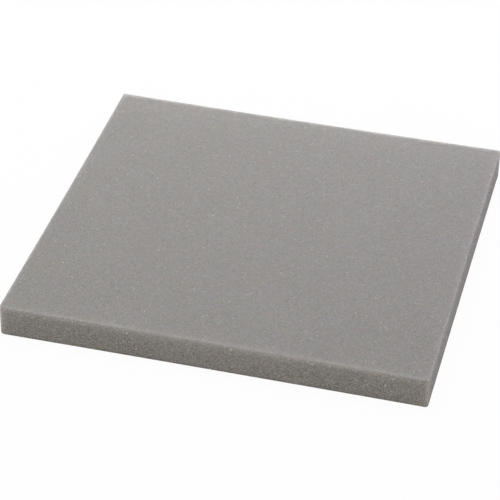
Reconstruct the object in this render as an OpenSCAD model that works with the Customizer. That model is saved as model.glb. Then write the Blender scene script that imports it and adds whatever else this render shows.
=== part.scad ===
// Flat square slab of fine open-cell foam, cut from a sheet with a long blade.
// The blade pulls the soft foam as it cuts, so the finished slab has slightly
// drawn-in sides, softly rounded upright corners and a top edge that rolls over,
// more on one side than on another. The edge that lay on the cutting table
// stays crisp.
//
// X runs along the front side, Y from the front side to the back and Z up.
// The origin is under the middle of the slab, on the surface that it lies on.
// All sizes are in millimetres.

/* [Slab] */
// Length of the front side, from corner to corner
slab_length = 300; // [200:5:400]
// Depth from the front side to the back, from corner to corner
slab_depth = 300; // [200:5:400]
// Thickness of the sheet
slab_thickness = 22; // [10:1:50]

/* [Upright corners] */
// Radius of the upright corner between the front and left sides
front_left_radius = 3.8; // [1:0.2:10]
// Radius of the upright corner between the front and right sides
front_right_radius = 2.2; // [1:0.2:10]
// Radius of the upright corner between the back and left sides
back_left_radius = 2.0; // [1:0.2:10]
// Radius of the upright corner between the back and right sides
back_right_radius = 2.2; // [1:0.2:10]

/* [Cut edges] */
// Radius to which the top edge rolls over along the front side
front_edge_radius = 2.3; // [0.4:0.1:4]
// Radius to which the top edge rolls over along the back side
back_edge_radius = 1.0; // [0.4:0.1:4]
// Radius to which the top edge rolls over along the left side
left_edge_radius = 0.6; // [0.4:0.1:4]
// Radius to which the top edge rolls over along the right side
right_edge_radius = 1.4; // [0.4:0.1:4]
// Radius of the bottom edge, which the cutting table held
bottom_edge_radius = 0.5; // [0.3:0.1:4]

/* [Drawn-in sides] */
// How far the middle of the front side lies behind its corners
front_draw_in = 0.4; // [0:0.1:3]
// How far the middle of the back side lies in front of its corners
back_draw_in = 1.0; // [0:0.1:3]
// How far the middle of the left side lies inside its corners
left_draw_in = 0.4; // [0:0.1:3]
// How far the middle of the right side lies inside its corners
right_draw_in = 0.2; // [0:0.1:3]

/* [Smoothness] */
// Straight steps along each side
side_steps = 16; // [8:1:32]
// Steps round each upright corner
corner_steps = 6; // [3:1:12]
// Steps round the top edge and round the bottom edge
edge_steps = 5; // [3:1:8]

/* [Hidden] */

// The smallest radius that an upright corner keeps where an edge rolls over it
sharpest_corner = 0.1;
// Points in one closed ring round the slab
ring_points = 4 * (side_steps + corner_steps);

// Each level of the loft is [whether it belongs to the top edge, how far the
// edge has turned there]: 0 where it leaves the wall, 90 at the flat face.
levels = concat(
    [for (step = [edge_steps : -1 : 0]) [false, 90 * step / edge_steps]],
    [for (step = [0 : edge_steps]) [true, 90 * step / edge_steps]]
);

// The four upright corners, anticlockwise from the back right, as the signs
// of their X and Y and the angle at which each one's arc begins.
corners = [[1, 1, 0], [-1, 1, 90], [-1, -1, 180], [1, -1, 270]];

// The radius of the upright corner in the same quarter of the slab as a point.
function corner_radius(point) =
    point.y > 0
        ? (point.x > 0 ? back_right_radius : back_left_radius)
        : (point.x > 0 ? front_right_radius : front_left_radius);

// The share of its draw-in that a side has at a point: all of it at the
// middle of the side, and none where the upright corners begin.
function drawn_share(along, side, radius) =
    max(0, 1 - pow(along / (side / 2 - radius), 2));

// A point of the straight-sided outline, moved to where the cut leaves it.
function drawn_in(point) =
    let (
        side_x = point.x > 0 ? right_draw_in : left_draw_in,
        side_y = point.y > 0 ? back_draw_in : front_draw_in,
        share_x = drawn_share(point.y, slab_depth, corner_radius(point)),
        share_y = drawn_share(point.x, slab_length, corner_radius(point))
    )
    [point.x * (1 - side_x * share_x / (slab_length / 2)),
     point.y * (1 - side_y * share_y / (slab_depth / 2)),
     point.z];

// A point of an upright corner on one level, where the corner's arc has reached
// an angle. Round the arc, the roll of one side passes into that of the next.
function corner_point(corner, angle, level) =
    let (
        on_top = level[0],
        turn = level[1],
        top_roll_x = corner[0] > 0 ? right_edge_radius : left_edge_radius,
        top_roll_y = corner[1] > 0 ? back_edge_radius : front_edge_radius,
        roll_x = on_top ? top_roll_x : bottom_edge_radius,
        roll_y = on_top ? top_roll_y : bottom_edge_radius,
        set_in_x = roll_x * (1 - cos(turn)),
        set_in_y = roll_y * (1 - cos(turn)),
        arc_x = max(corner_radius(corner) - set_in_x, sharpest_corner),
        arc_y = max(corner_radius(corner) - set_in_y, sharpest_corner),
        roll = roll_x * pow(cos(angle), 2) + roll_y * pow(sin(angle), 2),
        to_face = roll * (1 - sin(turn))
    )
    [corner[0] * (slab_length / 2 - set_in_x - arc_x) + arc_x * cos(angle),
     corner[1] * (slab_depth / 2 - set_in_y - arc_y) + arc_y * sin(angle),
     on_top ? slab_thickness - to_face : to_face];

// One corner's arc on one level, and then the side that leads to the next corner.
function corner_and_side(index, level) =
    let (
        corner = corners[index],
        next = corners[(index + 1) % 4],
        arc = [
            for (step = [0 : corner_steps])
                corner_point(corner, corner[2] + 90 * step / corner_steps, level)
        ],
        side_start = arc[corner_steps],
        side_end = corner_point(next, next[2], level),
        side = [
            for (step = [1 : side_steps - 1])
                side_start + (side_end - side_start) * step / side_steps
        ]
    )
    concat(arc, side);

// The closed ring of points on one level.
function ring(level) = [
    for (index = [0 : 3])
        for (point = corner_and_side(index, level))
            drawn_in(point)
];

module foam_block() {
    points = [for (level = levels) each ring(level)];
    last = len(levels) - 1;
    bottom_face = [for (i = [0 : ring_points - 1]) i];
    top_face = [
        for (i = [0 : ring_points - 1])
            (last + 1) * ring_points - 1 - i
    ];
    wall = [
        for (level = [0 : last - 1])
            for (i = [0 : ring_points - 1])
                let (
                    next = (i + 1) % ring_points,
                    low = level * ring_points,
                    high = low + ring_points
                )
                each [
                    [low + i, high + i, high + next],
                    [low + i, high + next, low + next]
                ]
    ];
    color("#96938f")
        polyhedron(points, concat([bottom_face], wall, [top_face]));
}

foam_block();
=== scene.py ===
import math

import bmesh
import bpy
from mathutils import Matrix, Vector, noise


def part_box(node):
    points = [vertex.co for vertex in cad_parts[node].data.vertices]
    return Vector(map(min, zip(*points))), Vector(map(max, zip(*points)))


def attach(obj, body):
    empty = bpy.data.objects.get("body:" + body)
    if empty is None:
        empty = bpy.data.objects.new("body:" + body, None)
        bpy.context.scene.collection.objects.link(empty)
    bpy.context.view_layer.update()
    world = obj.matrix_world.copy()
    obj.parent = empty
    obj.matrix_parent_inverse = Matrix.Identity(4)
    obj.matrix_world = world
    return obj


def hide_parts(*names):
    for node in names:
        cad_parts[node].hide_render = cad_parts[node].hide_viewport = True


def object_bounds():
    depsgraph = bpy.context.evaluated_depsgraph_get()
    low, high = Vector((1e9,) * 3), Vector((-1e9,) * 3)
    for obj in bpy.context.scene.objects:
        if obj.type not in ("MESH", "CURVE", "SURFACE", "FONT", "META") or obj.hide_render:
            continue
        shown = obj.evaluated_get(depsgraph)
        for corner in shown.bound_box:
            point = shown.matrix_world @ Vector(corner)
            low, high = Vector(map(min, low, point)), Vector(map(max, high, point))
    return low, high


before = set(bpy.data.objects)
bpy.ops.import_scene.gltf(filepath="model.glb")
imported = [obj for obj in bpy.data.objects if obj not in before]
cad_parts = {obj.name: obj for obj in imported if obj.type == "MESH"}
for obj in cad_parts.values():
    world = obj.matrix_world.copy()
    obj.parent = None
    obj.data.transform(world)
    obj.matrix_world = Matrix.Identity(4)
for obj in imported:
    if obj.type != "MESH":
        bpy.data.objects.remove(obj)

CAD_LOW, CAD_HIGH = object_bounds()
MM = 0.001
QUARTER_TURN = math.radians(90)

# ---- The slab ----------------------------------------------------------------------------------

SLAB = "foam_block"
# The radius of each upright corner, by the two sides that meet there.
CORNER_RADII = {
    ("front", "left"): 3.8 * MM,
    ("front", "right"): 2.2 * MM,
    ("back", "left"): 2.0 * MM,
    ("back", "right"): 2.2 * MM,
}
# How far the top edge rolls over along each side: across the top, and down the side.
EDGE_ROLLS = {
    "front": (2.5 * MM, 3.4 * MM),
    "back": (1.0 * MM, 1.0 * MM),
    "left": (0.6 * MM, 0.6 * MM),
    "right": (1.4 * MM, 1.4 * MM),
}
BOTTOM_EDGE_RADIUS = 0.5 * MM
# The smallest radius that an upright corner keeps where an edge rolls over it.
SHARPEST_CORNER = 0.1 * MM
# How far a side is drawn in is read from the solid near its middle: as far from there as this share of
# its length.
MIDDLE_BAND = 0.02
# Points of the skirt and of the lower sheet that lie closer together than this become one.
SEAM = 0.05 * MM
# Points whose heights differ by less than this lie on the same sheet.
SAME_HEIGHT = 0.001 * MM

# The flat middle of the top and of the underside ends this far inside the outline.
SHEET_MARGIN = 5.0 * MM
SHEET_CELLS = 58
# Every cell along the rim of a sheet is cut into this many steps, to follow the ragged edge.
STEPS_PER_CELL = 7
# Rings of the top between its rolled edge, at 0, and its flat middle, at 1.
TOP_RINGS = (0.78, 0.58, 0.40, 0.25, 0.12)
TOP_EDGE_STEPS = 8
WALL_ROWS = 20
BOTTOM_EDGE_STEPS = 3
# One more ring of the underside lies this far inside its rolled edge.
BOTTOM_RING = 1.5 * MM

# The points are put in order along this direction, in which no two of them lie level.
ORDER = (1.0, math.sqrt(2), math.sqrt(3))

# Near an edge the foam's colour is painted lighter, and its cells more alike: painted light, for the
# light that enters the foam from two sides there.
PAINTED_EDGE_LIGHT = "painted_edge_light"
# The painted highlights along the top edge of each side, painted into the foam's colour: their strength,
# and how far they reach across the top and down the side. The second one of the front is a faint, wide
# painted glow behind its edge, and the one of the back a wide painted glow along it.
SIDE_PAINTED_LIGHTS = {
    "front": [(1.55, 2.0 * MM, 3.6 * MM), (0.22, 25.0 * MM, 3.6 * MM)],
    "back": [(1.0, 26.0 * MM, 4.0 * MM)],
    "left": [],
    "right": [],
}
# The painted highlights of each upright corner: their strength, and how far they reach along the front or
# back and along the left or right side. One below 0 is painted shade, which darkens the ends of the
# front.
CORNER_PAINTED_LIGHT_AND_SHADE = {
    ("front", "left"): [(2.4, 2.6 * MM, 2.0 * MM), (-0.4, 25.0 * MM, 1.0 * MM)],
    ("front", "right"): [(1.95, 3.5 * MM, 2.0 * MM), (-0.75, 25.0 * MM, 1.0 * MM)],
    ("back", "left"): [(0.7, 2.0 * MM, 2.0 * MM)],
    ("back", "right"): [(0.7, 2.0 * MM, 2.0 * MM)],
}
# Where on its roll an edge's painted highlight is brightest: high up on a top edge, in the middle of an
# upright corner.
EDGE_TURN = math.radians(15)
CORNER_TURN = math.radians(45)

# Relief left by the blade: how far it moves the skin, and the size of its waves.
WALL_RELIEF = 0.05 * MM
WALL_WAVE = 3.0 * MM
EDGE_RELIEF = 0.10 * MM
EDGE_WAVE = 1.6 * MM
EDGE_REACH = 3.0 * MM
FACE_RELIEF = 0.12 * MM
FACE_WAVE = 45.0 * MM
# Its fine waves: how smooth they are, how much finer each layer of them is, and how many there are.
FINE_WAVES = (0.9, 2.0, 2)


def draw_ins(node, low, high):
    """How far the middle of each side of a CAD slab lies inside its corners."""
    near = MIDDLE_BAND * (high.x - low.x)
    middle = (low + high) / 2
    points = [vertex.co for vertex in node.data.vertices]
    along_y = [point for point in points if abs(point.x - middle.x) < near]
    along_x = [point for point in points if abs(point.y - middle.y) < near]
    return {
        "left": min(point.x for point in along_x) - low.x,
        "right": high.x - max(point.x for point in along_x),
        "front": min(point.y for point in along_y) - low.y,
        "back": high.y - max(point.y for point in along_y),
    }


def skirt_profile(roll, thickness):
    """The cross-section of one side, from the flat top over the rolled edge, down the wall and under:
    how far each of its points lies inside the outline, and its height."""
    across, down = roll
    profile = [(across + (SHEET_MARGIN - across) * share, thickness) for share in TOP_RINGS]
    for step in range(TOP_EDGE_STEPS + 1):
        turn = QUARTER_TURN * step / TOP_EDGE_STEPS
        profile.append((
            across * (1 - math.sin(turn)),
            thickness - down * (1 - math.cos(turn)),
        ))
    wall_top = thickness - down
    wall_height = wall_top - BOTTOM_EDGE_RADIUS
    for row in range(1, WALL_ROWS):
        profile.append((0.0, wall_top - wall_height * row / WALL_ROWS))
    for step in range(BOTTOM_EDGE_STEPS + 1):
        turn = QUARTER_TURN * step / BOTTOM_EDGE_STEPS
        profile.append((
            BOTTOM_EDGE_RADIUS * (1 - math.cos(turn)),
            BOTTOM_EDGE_RADIUS * (1 - math.sin(turn)),
        ))
    profile.append((BOTTOM_EDGE_RADIUS + BOTTOM_RING, 0.0))
    profile.append((SHEET_MARGIN, 0.0))
    return profile


def sides_by(point):
    """The names of the two sides that meet in the same quarter of the slab as a point."""
    return "back" if point.y > 0 else "front", "right" if point.x > 0 else "left"


def on_ring(share, half, profiles, level):
    """Where a point of the rim goes on a level of the skirt. Its share is its place on a square of
    half-width 1. Round an upright corner, the height of one side passes into that of the other."""
    side_y, side_x = sides_by(share)
    corner_radius = CORNER_RADII[side_y, side_x]
    set_in_x, height_x = profiles[side_x][level]
    set_in_y, height_y = profiles[side_y][level]
    arc_x = max(corner_radius - set_in_x, SHARPEST_CORNER)
    arc_y = max(corner_radius - set_in_y, SHARPEST_CORNER)
    core_x = half.x - set_in_x - arc_x
    core_y = half.y - set_in_y - arc_y
    x = abs(share.x) * (half.x - set_in_x)
    y = abs(share.y) * (half.y - set_in_y)
    outward = Vector((max(x - core_x, 0.0) / arc_x, max(y - core_y, 0.0) / arc_y)).normalized()
    return Vector((
        math.copysign(min(x, core_x) + arc_x * outward.x, share.x),
        math.copysign(min(y, core_y) + arc_y * outward.y, share.y),
        height_x * outward.x ** 2 + height_y * outward.y ** 2,
    ))


def drawn_in(point, half, pulls):
    """A point of the straight-sided slab, moved to where the blade leaves it."""
    side_y, side_x = sides_by(point)
    corner_radius = CORNER_RADII[side_y, side_x]
    share_x = max(0.0, 1 - (point.y / (half.y - corner_radius)) ** 2)
    share_y = max(0.0, 1 - (point.x / (half.x - corner_radius)) ** 2)
    return Vector((
        point.x * (1 - pulls[side_x] * share_x / half.x),
        point.y * (1 - pulls[side_y] * share_y / half.y),
        point.z,
    ))


def painted_by_edge(light, gaps, roll, turn):
    """The painted light that a rolled edge adds to the foam's colour at a point, or, with a strength
    below 0,
    the painted shade that it takes away: all of it where the skin has made that turn, and less the
    further away. The gaps are how far the point lies inside the faces that the edge joins."""
    strength, reach_across, reach_down = light
    across = gaps[0] - roll[0] * (1 - math.sin(turn))
    down = gaps[1] - roll[1] * (1 - math.cos(turn))
    return strength * math.exp(-max(across / reach_across, down / reach_down, 0.0))


def painted_edge_light(point, half, thickness):
    """How much painted light the nearest edges add to the foam's colour at a point of the straight-sided
    slab: the strongest of their painted lights, less what the strongest of their painted shades takes
    away."""
    side_y, side_x = sides_by(point)
    to_x = half.x - abs(point.x)
    to_y = half.y - abs(point.y)
    to_top = thickness - point.z
    corner_roll = (CORNER_RADII[side_y, side_x],) * 2
    lights = [
        painted_by_edge(light, (to_x, to_y), corner_roll, CORNER_TURN)
        for light in CORNER_PAINTED_LIGHT_AND_SHADE[side_y, side_x]
    ]
    for side, to_side in ((side_x, to_x), (side_y, to_y)):
        for light in SIDE_PAINTED_LIGHTS[side]:
            lights.append(painted_by_edge(light, (to_side, to_top), EDGE_ROLLS[side], EDGE_TURN))
    return max(lights) + min(lights + [0.0])


def relief(point, half, thickness):
    """How far the skin stands out or in at a point of the slab."""
    to_wall = min(half.x - abs(point.x), half.y - abs(point.y))
    to_edge = math.hypot(max(to_wall, 0.0), thickness - point.z)
    edge = max(0.0, 1 - to_edge / EDGE_REACH)
    wall = max(0.0, 1 - to_wall / EDGE_REACH)
    ragged = noise.fractal(point / EDGE_WAVE, *FINE_WAVES)
    cut = noise.fractal(point / WALL_WAVE, *FINE_WAVES)
    wave = noise.noise(Vector((point.x, point.y, 0.0)) / FACE_WAVE)
    on_top = point.z > thickness / 2
    return (
        EDGE_RELIEF * edge * ragged
        + WALL_RELIEF * wall * cut
        + FACE_RELIEF * wave * (1 - wall) * on_top
    )


def sheet(bm, half, height):
    """A flat sheet of square cells. Returns its rim, cut into fine steps."""
    made = bmesh.ops.create_grid(bm, x_segments=SHEET_CELLS, y_segments=SHEET_CELLS, size=1.0)
    verts = made["verts"]
    bmesh.ops.scale(bm, verts=verts, vec=(half.x - SHEET_MARGIN, half.y - SHEET_MARGIN, 1.0))
    bmesh.ops.translate(bm, verts=verts, vec=(0.0, 0.0, height))
    within = set(verts)
    rim = [edge for edge in bm.edges if edge.is_boundary and edge.verts[0] in within]
    bmesh.ops.subdivide_edges(bm, edges=rim, cuts=STEPS_PER_CELL - 1)
    return [
        edge for edge in bm.edges
        if edge.is_boundary and abs(edge.verts[0].co.z - height) < SAME_HEIGHT
    ]


def along_order(vertex):
    """How far along the direction of the order a point lies."""
    return sum(place * weight for place, weight in zip(vertex.co, ORDER))


def rank(face, count):
    """A number that no other face has, made of the numbers of its three first points."""
    first, second, third = sorted(vertex.index for vertex in face.verts)[:3]
    return (first * count + second) * count + third


def slab_skin(bm, half, thickness):
    """The closed, straight-sided skin of the slab: two sheets, and a skirt drawn out from the upper one
    over its edge, down its sides and under."""
    sheet(bm, half, 0.0)
    rim = sheet(bm, half, thickness)
    home = bm.verts.layers.float_vector.new("home")
    for vertex in {vertex for edge in rim for vertex in edge.verts}:
        vertex[home] = Vector((
            vertex.co.x / (half.x - SHEET_MARGIN),
            vertex.co.y / (half.y - SHEET_MARGIN),
            0.0,
        ))
    profiles = {side: skirt_profile(roll, thickness) for side, roll in EDGE_ROLLS.items()}
    for level in range(len(profiles["front"])):
        made = bmesh.ops.extrude_edge_only(bm, edges=rim)["geom"]
        rim = [part for part in made if isinstance(part, bmesh.types.BMEdge)]
        for vertex in [part for part in made if isinstance(part, bmesh.types.BMVert)]:
            vertex.co = on_ring(vertex[home], half, profiles, level)
    bmesh.ops.remove_doubles(bm, verts=bm.verts, dist=SEAM)
    bm.verts.layers.float_vector.remove(home)
    # The cells along the rims have many corners, so each is fanned out from its middle.
    bmesh.ops.poke(bm, faces=[face for face in bm.faces if len(face.verts) > 4])
    # The steps above may leave points and faces in another order on every run.
    bm.verts.sort(key=along_order)
    bm.verts.index_update()
    bm.faces.sort(key=lambda face: rank(face, len(bm.verts)))


def slab_mesh(low, high, pulls):
    """The finished skin of the slab, as a mesh whose place is in its vertices."""
    half = (high - low) / 2
    middle = (high + low) / 2
    thickness = high.z - low.z
    bm = bmesh.new()
    slab_skin(bm, half, thickness)
    # Each point keeps its painted edge light, or painted shade, for the foam's colour.
    lit = bm.verts.layers.float.new(PAINTED_EDGE_LIGHT)
    for vertex in bm.verts:
        vertex[lit] = painted_edge_light(vertex.co, half, thickness)
        vertex.co = drawn_in(vertex.co, half, pulls)
    bmesh.ops.recalc_face_normals(bm, faces=bm.faces)
    bm.normal_update()
    moves = [vertex.normal * relief(vertex.co, half, thickness) for vertex in bm.verts]
    for vertex, move in zip(bm.verts, moves):
        vertex.co += move
    bmesh.ops.translate(bm, verts=bm.verts, vec=(middle.x, middle.y, low.z))
    for face in bm.faces:
        face.smooth = True
    mesh = bpy.data.meshes.new("foam_slab")
    bm.to_mesh(mesh)
    bm.free()
    return mesh


# ---- Shader maths -------------------------------------------------------------------------------


class Signal:
    """A shader socket that Python expressions can add, take away, multiply and divide."""

    def __init__(self, shader, socket):
        self.shader = shader
        self.socket = socket

    def maths(self, operation, first, second):
        return self.shader.node("ShaderNodeMath", {"operation": operation}, {0: first, 1: second})

    def __add__(self, other):
        return self.maths("ADD", self, other)

    def __radd__(self, other):
        return self.maths("ADD", other, self)

    def __sub__(self, other):
        return self.maths("SUBTRACT", self, other)

    def __rsub__(self, other):
        return self.maths("SUBTRACT", other, self)

    def __mul__(self, other):
        return self.maths("MULTIPLY", self, other)

    def __rmul__(self, other):
        return self.maths("MULTIPLY", other, self)

    def __truediv__(self, other):
        return self.maths("DIVIDE", self, other)

    def __rtruediv__(self, other):
        return self.maths("DIVIDE", other, self)

    def root(self):
        return self.shader.node("ShaderNodeMath", {"operation": "SQRT"}, {0: self})

    def logarithm(self):
        return self.shader.node("ShaderNodeMath", {"operation": "LOGARITHM"}, {0: self, 1: math.e})

    def within(self, low, high):
        """The signal, held between low and high."""
        return self.maths("MINIMUM", self.maths("MAXIMUM", self, low), high)

    def above(self, low, high):
        """0 below low, 1 above high, and a soft step between."""
        settings = {"interpolation_type": "SMOOTHSTEP"}
        inputs = {"Value": self, "From Min": low, "From Max": high}
        return self.shader.node("ShaderNodeMapRange", settings, inputs)


class Shader:
    """The node tree of a material or of the world."""

    def __init__(self, owner, output="ShaderNodeOutputMaterial"):
        owner.use_nodes = True
        self.tree = owner.node_tree
        self.tree.nodes.clear()
        self.output = self.tree.nodes.new(output)

    def node(self, kind, settings=None, values=None, out=0):
        """A node of that kind: its settings first, then the values or links of its sockets."""
        made = self.tree.nodes.new(kind)
        for name, value in (settings or {}).items():
            setattr(made, name, value)
        for name, value in (values or {}).items():
            if isinstance(value, Signal):
                self.tree.links.new(value.socket, made.inputs[name])
            else:
                made.inputs[name].default_value = value
        return Signal(self, made.outputs[out])

    def vectors(self, operation, *values):
        """Vector maths on colours and places."""
        inputs = dict(enumerate(values))
        return self.node("ShaderNodeVectorMath", {"operation": operation}, inputs)

    def mix(self, share, first, second):
        """A colour between two colours, or past them where the share is below 0 or above 1."""
        settings = {"data_type": "RGBA", "clamp_factor": False}
        inputs = {0: share, 6: first, 7: second}
        return self.node("ShaderNodeMix", settings, inputs, out=2)

    def channel(self, colour, index):
        """The red, green or blue of a colour."""
        return self.node("ShaderNodeSeparateColor", {}, {"Color": colour}, out=index)

    def upright(self, vector):
        """The part of a vector that points up."""
        return self.node("ShaderNodeSeparateXYZ", {}, {"Vector": vector}, out=2)

    def cells(self, feature, place, size, out=0):
        """Irregular cells of a size: how far their borders are, or the colour that each one draws."""
        settings = {"voronoi_dimensions": "3D", "feature": feature}
        inputs = {"Vector": place, "Scale": 1 / size}
        return self.node("ShaderNodeTexVoronoi", settings, inputs, out=out)

    def backdrop_ray(self):
        """1 on rays that look at the background, straight, in a reflection or through glass."""
        kinds = ("Is Camera Ray", "Is Glossy Ray", "Is Transmission Ray")
        camera_ray, glossy_ray, glass_ray = [
            self.node("ShaderNodeLightPath", out=kind) for kind in kinds
        ]
        return (camera_ray + glossy_ray + glass_ray).above(0.0, 1.0)

    def surface(self, signal):
        self.tree.links.new(signal.socket, self.output.inputs["Surface"])


# ---- The foam ----------------------------------------------------------------------------------

CELL = 0.42 * MM
PORE_COLOUR = (0.150, 0.1445, 0.1415, 1.0)
STRUT_COLOUR = (0.470, 0.454, 0.446, 1.0)
# How far from the border between two cells their strut is whole, and where it ends, in cells.
STRUT_WHOLE = 0.05
STRUT_END = 0.28
# How light a pore is, from the pore colour at 0 to the strut colour at 1, and what a strut adds.
PORE_LIGHT = 0.25
STRUT_LIGHT = 0.5
# Skin is part of a side where the square of its upward lean is under 1, and fully so under this.
SIDE_LEAN = 0.15
# Painted shade: how much darker the sides are painted.
PAINTED_SIDE_SHADE = 0.14
# Every cell has its own shade. On the sides, where the light only grazes the cells, they differ more: the
# cells' own tones, spread wider there by painted shade.
FACE_CONTRAST = 0.265
SIDE_CONTRAST = 0.595
# How rare strong shades are, from 0, where all shades are as common, to 1, where most are middling.
ODDITY = 0.6
# How much lighter full painted edge light makes the foam's colour, and how much more alike it makes the
# cells.
PAINTED_EDGE_GAIN = 0.10
EDGE_CALM = 0.45
# Painted light: the foot of the sides is painted lighter, for the light that the surface the slab lies on
# throws back into it.
PAINTED_FOOT_LIGHT = 0.11
FOOT_REACH = 9.0 * MM
# Painted glints: a few patches of the size of a large cell keep a shiny skin, and its glint is painted
# into the colour. What share of such patches glint on the faces and on the sides, how bright the painted
# glints are there, and how much warmer a glint looks.
GLINT_SIZE = 0.9 * MM
FACE_GLINTS = 0.038
SIDE_GLINTS = 0.07
RAREST = 0.0001
FACE_GLINT = 0.16
SIDE_GLINT = 0.19
GLINT_WARMTH = 0.06
# The share of cells that were torn open into a hole, and how dark a hole is.
HOLES = 0.02
HOLE_DARK = 2.0
# How far the darkest cells go below the pore colour, and the brightest above it.
DARKEST = -0.40
BRIGHTEST = 4.5
# What the coolest and the warmest cells multiply their colour by.
COOL = (0.965, 1.0, 1.030, 1.0)
WARM = (1.035, 1.0, 0.970, 1.0)
# The dye takes a little unevenly, in clouds that are longer from front to back: the size of a cloud,
# how many layers of finer clouds lie in it, and how far red, green and blue stray over it.
CLOUD = (4.0 * MM, 5.5 * MM, 4.0 * MM)
CLOUD_LAYERS = 1.0
CLOUD_TINT = (0.165, 0.09, 0.165)
# How far the struts stand out, and how strongly that turns the light.
STRUT_HEIGHT = 0.15 * MM
STRUT_RELIEF = 0.6
# The foam is dull, and light spreads this far inside it before it comes out again.
ROUGHNESS = 1.0
GLOSS = 0.1
LIGHT_DEPTH = 14.0 * MM


def painted_glint(shader, place, side):
    """How much a painted glint adds to the foam's lightness at a place. The rarer a glint, the brighter
    it
    is: its light grows as the logarithm of how rare it is."""
    draw = shader.channel(shader.cells("F1", place, GLINT_SIZE, out=1), 0)
    rarity = (draw / (FACE_GLINTS + side * (SIDE_GLINTS - FACE_GLINTS))).within(RAREST, 1.0)
    return 0 - rarity.logarithm()


def foam_light(shader, place, side, strut, shade, fate, glint):
    """How light the foam's colour is at a place: 0 is the pore colour and 1 the strut colour. It holds
    painted
    light and shade: painted edge light, painted light at the foot of the sides, painted shade on the
    sides and painted glints.
    """
    edge = shader.node("ShaderNodeAttribute", {"attribute_name": PAINTED_EDGE_LIGHT}, out=2)
    calm = (edge * side).root()
    contrast = (FACE_CONTRAST + side * (SIDE_CONTRAST - FACE_CONTRAST)) * (1 - calm * EDGE_CALM)
    torn = 1 - fate.above(0.0, HOLES)
    spread = shade * (shade * shade * ODDITY + (1 - ODDITY)) - torn * HOLE_DARK
    painted_foot = side * (1 - shader.upright(place).above(0.0, FOOT_REACH))
    # Painted light and shade: the sides darker, the edges and the foot of the sides lighter, the glints
    # brighter.
    light = strut * STRUT_LIGHT + PORE_LIGHT - side * PAINTED_SIDE_SHADE + edge * PAINTED_EDGE_GAIN + painted_foot * PAINTED_FOOT_LIGHT
    light = light + spread * contrast + glint * (FACE_GLINT + side * (SIDE_GLINT - FACE_GLINT))
    return light.within(DARKEST, BRIGHTEST)


def dyed(shader, place, colour, warmth):
    """A colour with the tint of its own cell, and of the cloud in the dye that it lies in."""
    colour = shader.vectors("MULTIPLY", colour, shader.mix(warmth, COOL, WARM))
    clouds = {"Vector": shader.vectors("DIVIDE", place, CLOUD), "Scale": 1.0, "Detail": CLOUD_LAYERS}
    cloud = shader.node("ShaderNodeTexNoise", {"noise_dimensions": "3D"}, clouds, out=1)
    untinted = tuple(1 - stray / 2 for stray in CLOUD_TINT)
    return shader.vectors("MULTIPLY", colour, shader.vectors("MULTIPLY_ADD", cloud, CLOUD_TINT, untinted))


def foam():
    """Open cells with their struts, each cell of its own shade, over a body that light soaks into, with
    painted highlights along the edges and at the foot of the sides, painted shade on the sides and
    painted glints.
    """
    material = bpy.data.materials.new("open_cell_foam")
    shader = Shader(material)
    place = shader.node("ShaderNodeTexCoord", out=3)
    lean = shader.upright(shader.node("ShaderNodeTexCoord", out=1))
    side = 1 - (lean * lean).above(SIDE_LEAN, 1.0)
    strut = 1 - shader.cells("DISTANCE_TO_EDGE", place, CELL).above(STRUT_WHOLE, STRUT_END)
    lots = shader.cells("F1", place, CELL, out=1)
    shade = shader.channel(lots, 0) * 2 - 1
    warmth = shader.channel(lots, 1)
    fate = shader.channel(lots, 2)
    # The painted glints, which also make the colour warmer where they lie.
    glint = painted_glint(shader, place, side)
    light = foam_light(shader, place, side, strut, shade, fate, glint)
    colour = shader.mix(light, PORE_COLOUR, STRUT_COLOUR)
    colour = dyed(shader, place, colour, warmth + glint * GLINT_WARMTH)
    struts = {"Strength": STRUT_RELIEF, "Distance": STRUT_HEIGHT, "Height": strut}
    foam_shader = shader.node(
        "ShaderNodeBsdfPrincipled",
        {"subsurface_method": "RANDOM_WALK"},
        {
            "Base Color": colour,
            "Roughness": ROUGHNESS,
            "Specular IOR Level": GLOSS,
            "Subsurface Weight": 1.0,
            "Subsurface Radius": (1.0, 1.0, 1.0),
            "Subsurface Scale": LIGHT_DEPTH,
            "Normal": shader.node("ShaderNodeBump", {}, struts),
        },
    )
    shader.surface(foam_shader)
    return material


# ---- Floor, light and camera ---------------------------------------------------------------------

WHITE = (1.0, 1.0, 1.0, 1.0)
FLOOR_SIZE = 12.0
FLOOR_COLOUR = (0.92, 0.92, 0.92, 1.0)
# The share of what the camera sees of the floor that is plain white; the rest is the lit floor.
FLOOR_WHITE = 0.96
# The floor lies this far below the slab, so that the two never share a face.
FLOOR_GAP = 0.1 * MM
# How strongly the white room lights the slab.
ROOM_LIGHT = 0.30
# The lamps: where each hangs, what it points at, its width and depth, its power and its colour.
LAMPS = {
    "overhead_softbox": ((-0.125, 0.31, 0.85), (0.0, 0.0, 0.0), (1.1, 0.8), 6.67, (0.994, 1.0, 0.978)),
    "right_kicker": ((0.29, 0.10, 0.27), (0.13, 0.05, 0.0), (0.2, 0.2), 0.036, (0.33, 0.0, 1.0)),
    "back_fill": ((0.9, 2.0, 0.45), (0.0, 0.0, 0.0), (1.8, 0.6), 6.9, (1.0, 1.0, 1.0)),
    "front_fill": ((0.5, -2.6, 0.8), (0.0, 0.0, 0.0), (2.0, 0.6), 21.0, (1.0, 0.92, 0.77)),
}


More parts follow.
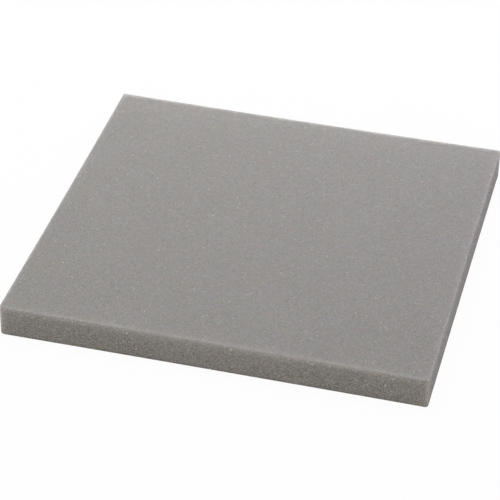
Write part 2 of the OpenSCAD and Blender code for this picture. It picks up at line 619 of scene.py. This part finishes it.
def floor():
    """A pale floor that keeps a faint shadow."""
    bm = bmesh.new()
    bmesh.ops.create_grid(bm, x_segments=1, y_segments=1, size=FLOOR_SIZE / 2)
    bmesh.ops.translate(bm, verts=bm.verts, vec=(0.0, 0.0, CAD_LOW.z - FLOOR_GAP))
    mesh = bpy.data.meshes.new("floor")
    bm.to_mesh(mesh)
    bm.free()
    made = bpy.data.objects.new("floor", mesh)
    bpy.context.scene.collection.objects.link(made)
    material = bpy.data.materials.new("white_floor")
    shader = Shader(material)
    lit = shader.node("ShaderNodeBsdfDiffuse", {}, {"Color": FLOOR_COLOUR})
    white = shader.node("ShaderNodeEmission", {}, {"Color": WHITE, "Strength": 1.0})
    share = shader.backdrop_ray() * FLOOR_WHITE
    shader.surface(shader.node("ShaderNodeMixShader", {}, {0: share, 1: lit, 2: white}))
    mesh.materials.append(material)


def softbox(name, place, aim, size, power, colour):
    """A soft rectangular lamp that hangs at a place and points at another."""
    lamp = bpy.data.lights.new(name, "AREA")
    lamp.shape = "RECTANGLE"
    lamp.size, lamp.size_y = size
    lamp.energy = power
    lamp.color = colour
    hung = bpy.data.objects.new(name, lamp)
    hung.location = place
    hung.rotation_euler = (Vector(aim) - Vector(place)).to_track_quat("-Z", "Y").to_euler()
    hung.visible_camera = False
    bpy.context.scene.collection.objects.link(hung)


def surroundings():
    """A white room that lights the slab softly, and looks plain white."""
    world = bpy.data.worlds.new("white_room")
    bpy.context.scene.world = world
    shader = Shader(world, "ShaderNodeOutputWorld")
    strength = shader.backdrop_ray() * (1.0 - ROOM_LIGHT) + ROOM_LIGHT
    shader.surface(shader.node("ShaderNodeBackground", {}, {"Color": WHITE, "Strength": strength}))


CAMERA_AZIMUTH = math.radians(13.0478)
CAMERA_ELEVATION = math.radians(34.4477)
CAMERA_ROLL = math.radians(1.7944)
CAMERA_DISTANCE = 1.69261
# How far right of the camera's axis, and how far above it, the slab's middle lies.
SLAB_RIGHT = 9.185 * MM
SLAB_ABOVE = 0.241 * MM
# The width of the sensor in millimetres, and of the frame and of the focal length in pixels.
SENSOR = 36.0
FRAME_PIXELS = 500
FOCAL_PIXELS = 2321.54


def camera():
    """The camera looks down at the slab from the front, a little from the right."""
    back = Vector((
        math.sin(CAMERA_AZIMUTH) * math.cos(CAMERA_ELEVATION),
        -math.cos(CAMERA_AZIMUTH) * math.cos(CAMERA_ELEVATION),
        math.sin(CAMERA_ELEVATION),
    ))
    level = Vector((0.0, 0.0, 1.0)).cross(back).normalized()
    upright = back.cross(level)
    right = math.cos(CAMERA_ROLL) * level + math.sin(CAMERA_ROLL) * upright
    above = math.cos(CAMERA_ROLL) * upright - math.sin(CAMERA_ROLL) * level
    place = CAMERA_DISTANCE * back - SLAB_RIGHT * right - SLAB_ABOVE * above
    lens = bpy.data.cameras.new("camera")
    lens.sensor_width = SENSOR
    lens.lens = SENSOR * FOCAL_PIXELS / FRAME_PIXELS
    made = bpy.data.objects.new("camera", lens)
    made.matrix_world = Matrix.Translation(place) @ Matrix((right, above, back)).transposed().to_4x4()
    bpy.context.scene.collection.objects.link(made)
    bpy.context.scene.camera = made


# ---- Putting it together -------------------------------------------------------------------------


def slab():
    """The foam slab, in the place of the solid."""
    low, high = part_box(SLAB)
    pulls = draw_ins(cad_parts[SLAB], low, high)
    mesh = slab_mesh(low, high, pulls)
    mesh.materials.append(foam())
    made = bpy.data.objects.new("foam_slab", mesh)
    bpy.context.scene.collection.objects.link(made)
    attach(made, "root")
    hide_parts(SLAB)


camera()
slab()
floor()
surroundings()
for lamp_name, (hangs, aims, box_size, watts, tone) in LAMPS.items():
    softbox(lamp_name, hangs, aims, box_size, watts, tone)
bpy.context.scene.view_settings.view_transform = "Standard"
